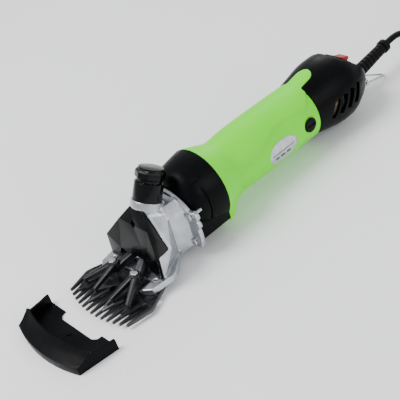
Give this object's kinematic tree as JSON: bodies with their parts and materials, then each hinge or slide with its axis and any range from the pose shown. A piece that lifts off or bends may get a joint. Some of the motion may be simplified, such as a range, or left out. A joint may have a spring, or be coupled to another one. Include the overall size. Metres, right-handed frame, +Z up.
{
  "type": "sheep shears",
  "caption": "Corded electric sheep shears with a cast gear head, comb and cutter, tension knob, lime motor grip and a lift-off comb guard.",
  "frame": {"origin": "on the floor, under the middle of the tool and its comb guard", "axes": "+X from the comb towards the mains lead, +Y to the far side of the rating label, +Z up from the floor the tool lies on"},
  "size_m": [0.5941, 0.1255, 0.0883],
  "materials": {
    "cast_aluminium": "bead-blasted die casting",
    "black_plastic": "fine moulded texture, satin",
    "gloss_black": "semi-gloss black",
    "lime_plastic": "satin lime green moulding",
    "label_foil": null,
    "dark_steel": "ground and blackened tool steel",
    "black_steel": "black phosphated forging",
    "bright_steel": "bright zinc plated",
    "core_steel": "stacked laminations",
    "copper": "enamelled copper",
    "carbon": "graphite block",
    "brush_brass": "drawn brass tube",
    "red_plastic": "glossy red",
    "white_plastic": "plain moulding",
    "amber_plastic": "dipped film capacitor",
    "cord_pvc": "matt black sheath",
    "pin_nickel": "nickel plated brass"
  },
  "bodies": {
    "housing": {"head_casting": "cast_aluminium", "face_cover": "gloss_black", "face_cover_screw": "bright_steel", "flange_screws": "bright_steel", "comb": "dark_steel", "comb_screws": "bright_steel", "fulcrum_post": "bright_steel", "tension_sleeve": "gloss_black", "gear_housing": "black_plastic", "crank_bearings": "bright_steel", "motor_plate": "black_plastic", "motor_bearings": "bright_steel", "grip_housing": "lime_plastic", "rating_label": "label_foil", "stator_core": "core_steel", "field_windings": "copper", "brush_holders": "brush_brass", "carbon_brushes": "carbon", "brush_springs": "bright_steel", "brush_caps": "black_plastic", "air_baffle": "black_plastic", "rear_bracket": "black_plastic", "rear_cover": "black_plastic", "rear_cover_screws": "bright_steel", "switch_body": "black_plastic", "terminal_block": "white_plastic", "capacitor": "amber_plastic", "cord_clamp": "black_plastic", "cord_guard": "cord_pvc", "loop_pin": "bright_steel", "tension_spring": "bright_steel", "power_cord": "cord_pvc", "cord_coil": "cord_pvc", "cord_tie": "cord_pvc", "cord_tail": "cord_pvc", "plug_body": "cord_pvc", "plug_pins": "pin_nickel"},
    "armature": {"motor_shaft": "bright_steel", "armature_core": "core_steel", "armature_windings": "copper", "commutator": "copper", "cooling_fan": "black_plastic", "motor_pinion": "bright_steel"},
    "crank": {"crank_shaft": "bright_steel", "driven_gear": "bright_steel", "crank_roller": "bright_steel"},
    "fork": {"fork": "black_steel", "fork_cup": "bright_steel", "yoke_left": "black_steel", "yoke_right": "black_steel", "yoke_screws": "bright_steel", "cutter": "dark_steel"},
    "tension_pin": {"tension_pin": "bright_steel"},
    "tension_knob": {"tension_knob": "gloss_black"},
    "rocker": {"switch_rocker": "red_plastic"},
    "loop": {"hanging_loop": "bright_steel"},
    "comb_guard": {"comb_guard": "black_plastic"}
  },
  "joints": [
    {"name": "armature_spin", "type": "hinge", "parent": "housing", "child": "armature", "pos_m": [0.03246, 0, 0.03578], "axis": [0.9996, 0, -0.0271], "continuous": true},
    {"name": "crank_spin", "type": "hinge", "parent": "housing", "child": "crank", "pos_m": [-0.05783, 0, 0.02622], "axis": [0.9996, 0, -0.0271], "continuous": true},
    {"name": "fork_swing", "type": "hinge", "parent": "housing", "child": "fork", "pos_m": [-0.10607, 0, 0.01813], "axis": [-0.02, 0, 0.9998], "range_deg": [-5.4, 5.4]},
    {"name": "tension_travel", "type": "slide", "parent": "housing", "child": "tension_pin", "axis": [0.5084, 0, 0.8612], "range_m": [-0.00031, 0.00187]},
    {"name": "tension_turn", "type": "hinge", "parent": "tension_pin", "child": "tension_knob", "pos_m": [-0.08852, 0, 0.06017], "axis": [0.5084, 0, 0.8612], "range_deg": [-90, 540]},
    {"name": "switch_rock", "type": "hinge", "parent": "housing", "child": "rocker", "pos_m": [0.15074, 0, 0.05097], "axis": [0, 1, 0], "range_deg": [0, 15]},
    {"name": "loop_swing", "type": "hinge", "parent": "housing", "child": "loop", "pos_m": [0.17006, 0, 0.01904], "axis": [0, 1, 0], "range_deg": [-20, 68]},
    {"name": "guard_slide", "type": "slide", "parent": "housing", "child": "comb_guard", "axis": [1, 0, 0], "range_m": [0, 0.036]}
  ],
  "couplings": [
    {"joint": "crank_spin", "follows": "armature_spin", "ratio": -0.33333},
    {"joint": "tension_turn", "follows": "tension_travel", "rad_per_m": 5026.5}
  ]
}
